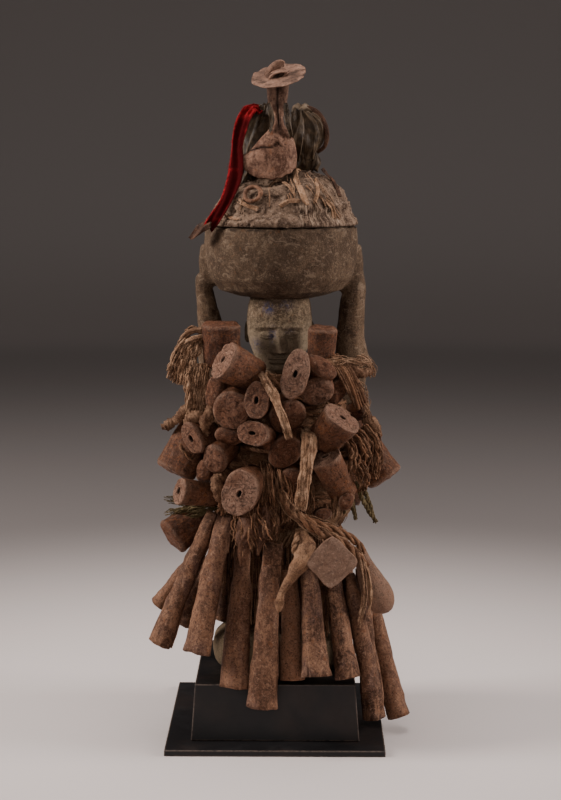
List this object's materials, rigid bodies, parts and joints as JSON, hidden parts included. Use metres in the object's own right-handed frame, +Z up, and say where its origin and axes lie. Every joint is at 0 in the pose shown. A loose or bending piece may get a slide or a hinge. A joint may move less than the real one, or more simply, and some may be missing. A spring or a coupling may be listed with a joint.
{
  "type": "power figure",
  "caption": "Standing carved wooden figure holding a packed bowl on its head, wrapped in fibre and hung with wooden stoppers and iron bells, on a black mount.",
  "frame": {"origin": "centre of the underside of the mount's plate", "axes": "+Z up, the figure faces -Y, +X to its viewer's right"},
  "size_m": [0.2539, 0.2171, 0.6533],
  "materials": {
    "figure_wood": "aged dry wood, greenish grey brown, crusted and dusty",
    "stopper_wood": "worn red brown wood, pale dusty ends",
    "rusty_iron": "rolled sheet iron, pitted brown rust with purple grey patches",
    "crusted_packing": "dry fibrous crust of earth and plant matter",
    "plant_fibre": "dusty twisted plant fibre and bark strips",
    "dry_leaf": "dark dried folded leaves",
    "hide": "stiff brown hide",
    "red_cloth": "faded crimson woollen cloth",
    "black_mount": "satin black with faint lighter edges"
  },
  "bodies": {
    "root": {"bell_front_dark": "rusty_iron", "bell_front_long": "rusty_iron", "bell_front_seamed": "rusty_iron", "bell_front_slim": "rusty_iron", "bell_front_wide": "rusty_iron", "bell_left_behind": "rusty_iron", "bell_left_front": "rusty_iron", "bell_left_inner": "rusty_iron", "bell_left_long": "rusty_iron", "bell_left_short": "rusty_iron", "bell_right_lower": "rusty_iron", "bell_right_outer": "rusty_iron", "bell_right_upper": "rusty_iron", "bells_back": "rusty_iron", "bowl_packing": "crusted_packing", "carved_figure": "figure_wood", "cloth_flap": "hide", "crown_bell": "rusty_iron", "crown_disc": "rusty_iron", "fibre_mantle": "plant_fibre", "gourd_stopper": "stopper_wood", "hide_flap": "hide", "horn_strap": "hide", "leaves_left": "dry_leaf", "leaves_right": "dry_leaf", "mound_ring": "rusty_iron", "mount_block": "black_mount", "mount_plate": "black_mount", "red_cloth": "red_cloth", "square_tablet": "stopper_wood", "stopper_below_centre": "stopper_wood", "stopper_big_left": "stopper_wood", "stopper_big_right": "stopper_wood", "stopper_centre": "stopper_wood", "stopper_hip_left": "stopper_wood", "stopper_left_chest": "stopper_wood", "stopper_left_tucked": "stopper_wood", "stopper_left_under": "stopper_wood", "stopper_left_waist": "stopper_wood", "stopper_long_right": "stopper_wood", "stopper_low_centre": "stopper_wood", "stopper_outer_left": "stopper_wood", "stopper_outer_right": "stopper_wood", "stopper_oval_centre": "stopper_wood", "stopper_oval_left": "stopper_wood", "stopper_oval_low": "stopper_wood", "stopper_oval_middle": "stopper_wood", "stopper_pale_front": "stopper_wood", "stopper_right_chest": "stopper_wood", "stopper_right_tucked": "stopper_wood", "stopper_shoulder_left": "stopper_wood", "stopper_shoulder_right": "stopper_wood", "stopper_tilted_right": "stopper_wood", "stopper_tube_left": "stopper_wood", "stoppers_back_left": "stopper_wood", "stoppers_back_middle": "stopper_wood", "stoppers_back_right": "stopper_wood", "stoppers_left_back": "stopper_wood", "stoppers_right": "stopper_wood", "stoppers_right_low": "stopper_wood"}
  },
  "joints": []
}
